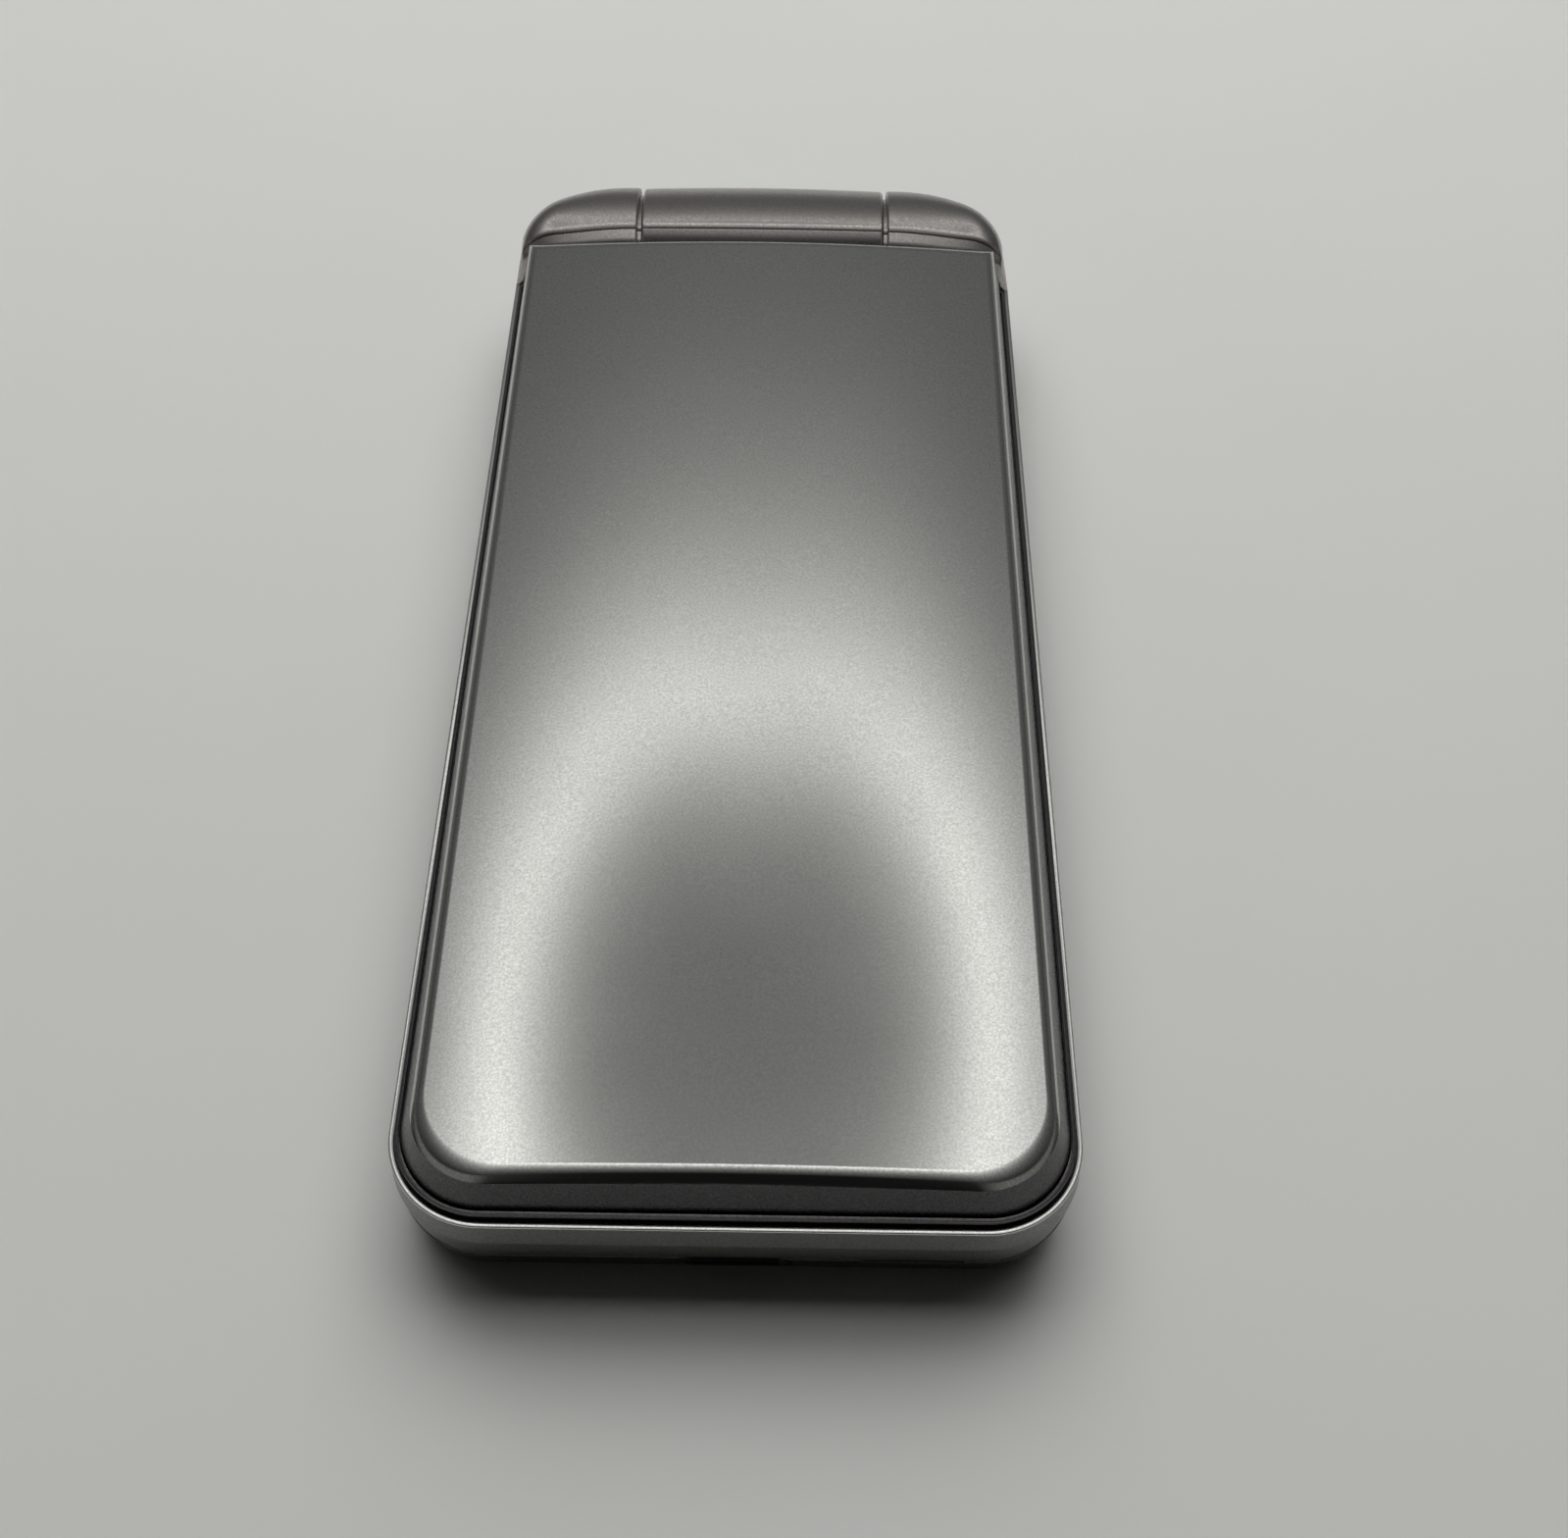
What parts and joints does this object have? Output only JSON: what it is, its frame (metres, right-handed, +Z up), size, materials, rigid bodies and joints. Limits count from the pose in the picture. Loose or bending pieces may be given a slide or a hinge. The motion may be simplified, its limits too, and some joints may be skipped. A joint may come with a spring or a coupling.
{
  "type": "feature phone",
  "caption": "Closed clamshell feature phone: domed silver lid on a segmented end hinge over a keypad base, with a clipped rear cover and a charging socket.",
  "frame": {"origin": "middle of the back, on the surface that the closed phone lies on", "axes": "+X across the phone, +Y from the opening end to the hinge end, +Z up through the lid"},
  "size_m": [0.051, 0.115, 0.0164],
  "materials": {
    "lid_silver": "satin metallic silver paint with a fine flake",
    "hinge_silver": "satin warm grey metallic paint",
    "case_silver": "fine matte metallic grey paint",
    "bezel_black": "fine moulded texture",
    "plate_grey": "matte metallic paint",
    "key_silver": "satin paint with printed figures",
    "display_glass": "clear hard-coated window",
    "clear_window": "clear window",
    "display_black": "dark display panel",
    "chassis_black": "moulded",
    "black_mesh": "fine woven dust mesh",
    "board_green": "solder mask",
    "dome_film": "clear film with metal domes",
    "battery_can": "aluminium cell in a dark film wrap",
    "gold_contact": "gold-plated spring",
    "pressed_steel": "pressed steel",
    "flex_film": "polyimide film",
    "bumper_rubber": "moulded rubber"
  },
  "bodies": {
    "base": {"base_front_case": "case_silver", "keypad_plate": "plate_grey", "rear_cover": "case_silver", "camera_window": "clear_window", "speaker_mesh": "black_mesh", "mid_frame": "chassis_black", "main_board": "board_green", "shield_cans": "pressed_steel", "dome_sheet": "dome_film", "battery": "battery_can", "battery_contacts": "gold_contact", "charge_board": "board_green", "usb_socket": "pressed_steel", "loudspeaker": "chassis_black", "microphone": "pressed_steel", "vibration_motor": "pressed_steel", "camera_module": "chassis_black", "card_holder": "pressed_steel", "base_screws": "pressed_steel", "hinge_cap_left": "hinge_silver", "hinge_cap_right": "hinge_silver", "pivot_sleeve": "pressed_steel", "hinge_shaft": "pressed_steel"},
    "lid": {"lid_cover": "lid_silver", "lid_frame": "bezel_black", "hinge_barrel": "hinge_silver", "hinge_capsule": "pressed_steel", "hinge_flex": "flex_film", "display_module": "display_black", "display_window": "display_glass", "earpiece": "chassis_black", "lid_magnet": "pressed_steel", "lid_bumpers": "bumper_rubber", "screw_caps": "bumper_rubber", "lid_screws": "pressed_steel"},
    "volume_key": {"volume_key": "case_silver"},
    "nav_ring": {"nav_ring": "key_silver"},
    "ok_key": {"ok_key": "key_silver"},
    "key_1": {"key_1": "key_silver"},
    "key_2": {"key_2": "key_silver"},
    "key_3": {"key_3": "key_silver"},
    "key_4": {"key_4": "key_silver"},
    "key_5": {"key_5": "key_silver"},
    "key_6": {"key_6": "key_silver"},
    "key_7": {"key_7": "key_silver"},
    "key_8": {"key_8": "key_silver"},
    "key_9": {"key_9": "key_silver"},
    "key_star": {"key_star": "key_silver"},
    "key_0": {"key_0": "key_silver"},
    "key_hash": {"key_hash": "key_silver"},
    "key_call": {"key_call": "key_silver"},
    "key_clear": {"key_clear": "key_silver"},
    "key_end": {"key_end": "key_silver"},
    "soft_key_upper_left": {"soft_key_upper_left": "key_silver"},
    "soft_key_upper_right": {"soft_key_upper_right": "key_silver"},
    "soft_key_lower_left": {"soft_key_lower_left": "key_silver"},
    "soft_key_lower_right": {"soft_key_lower_right": "key_silver"}
  },
  "joints": [
    {"name": "lid_hinge", "type": "hinge", "parent": "base", "child": "lid", "pos_m": [0, 0.0513, 0.0097], "axis": [-1, 0, 0], "range_deg": [0, 160]},
    {"name": "volume_key_press", "type": "slide", "parent": "base", "child": "volume_key", "axis": [1, 0, 0], "range_m": [0, 0.0003], "stiffness_N_per_m": 300},
    {"name": "nav_ring_press", "type": "slide", "parent": "base", "child": "nav_ring", "axis": [0, 0, -1], "range_m": [0, 0.0003], "stiffness_N_per_m": 300},
    {"name": "ok_key_press", "type": "slide", "parent": "base", "child": "ok_key", "axis": [0, 0, -1], "range_m": [0, 0.0003], "stiffness_N_per_m": 300},
    {"name": "key_1_press", "type": "slide", "parent": "base", "child": "key_1", "axis": [0, 0, -1], "range_m": [0, 0.0003], "stiffness_N_per_m": 300},
    {"name": "key_2_press", "type": "slide", "parent": "base", "child": "key_2", "axis": [0, 0, -1], "range_m": [0, 0.0003], "stiffness_N_per_m": 300},
    {"name": "key_3_press", "type": "slide", "parent": "base", "child": "key_3", "axis": [0, 0, -1], "range_m": [0, 0.0003], "stiffness_N_per_m": 300},
    {"name": "key_4_press", "type": "slide", "parent": "base", "child": "key_4", "axis": [0, 0, -1], "range_m": [0, 0.0003], "stiffness_N_per_m": 300},
    {"name": "key_5_press", "type": "slide", "parent": "base", "child": "key_5", "axis": [0, 0, -1], "range_m": [0, 0.0003], "stiffness_N_per_m": 300},
    {"name": "key_6_press", "type": "slide", "parent": "base", "child": "key_6", "axis": [0, 0, -1], "range_m": [0, 0.0003], "stiffness_N_per_m": 300},
    {"name": "key_7_press", "type": "slide", "parent": "base", "child": "key_7", "axis": [0, 0, -1], "range_m": [0, 0.0003], "stiffness_N_per_m": 300},
    {"name": "key_8_press", "type": "slide", "parent": "base", "child": "key_8", "axis": [0, 0, -1], "range_m": [0, 0.0003], "stiffness_N_per_m": 300},
    {"name": "key_9_press", "type": "slide", "parent": "base", "child": "key_9", "axis": [0, 0, -1], "range_m": [0, 0.0003], "stiffness_N_per_m": 300},
    {"name": "key_star_press", "type": "slide", "parent": "base", "child": "key_star", "axis": [0, 0, -1], "range_m": [0, 0.0003], "stiffness_N_per_m": 300},
    {"name": "key_0_press", "type": "slide", "parent": "base", "child": "key_0", "axis": [0, 0, -1], "range_m": [0, 0.0003], "stiffness_N_per_m": 300},
    {"name": "key_hash_press", "type": "slide", "parent": "base", "child": "key_hash", "axis": [0, 0, -1], "range_m": [0, 0.0003], "stiffness_N_per_m": 300},
    {"name": "key_call_press", "type": "slide", "parent": "base", "child": "key_call", "axis": [0, 0, -1], "range_m": [0, 0.0003], "stiffness_N_per_m": 300},
    {"name": "key_clear_press", "type": "slide", "parent": "base", "child": "key_clear", "axis": [0, 0, -1], "range_m": [0, 0.0003], "stiffness_N_per_m": 300},
    {"name": "key_end_press", "type": "slide", "parent": "base", "child": "key_end", "axis": [0, 0, -1], "range_m": [0, 0.0003], "stiffness_N_per_m": 300},
    {"name": "soft_key_upper_left_press", "type": "slide", "parent": "base", "child": "soft_key_upper_left", "axis": [0, 0, -1], "range_m": [0, 0.0003], "stiffness_N_per_m": 300},
    {"name": "soft_key_upper_right_press", "type": "slide", "parent": "base", "child": "soft_key_upper_right", "axis": [0, 0, -1], "range_m": [0, 0.0003], "stiffness_N_per_m": 300},
    {"name": "soft_key_lower_left_press", "type": "slide", "parent": "base", "child": "soft_key_lower_left", "axis": [0, 0, -1], "range_m": [0, 0.0003], "stiffness_N_per_m": 300},
    {"name": "soft_key_lower_right_press", "type": "slide", "parent": "base", "child": "soft_key_lower_right", "axis": [0, 0, -1], "range_m": [0, 0.0003], "stiffness_N_per_m": 300}
  ]
}
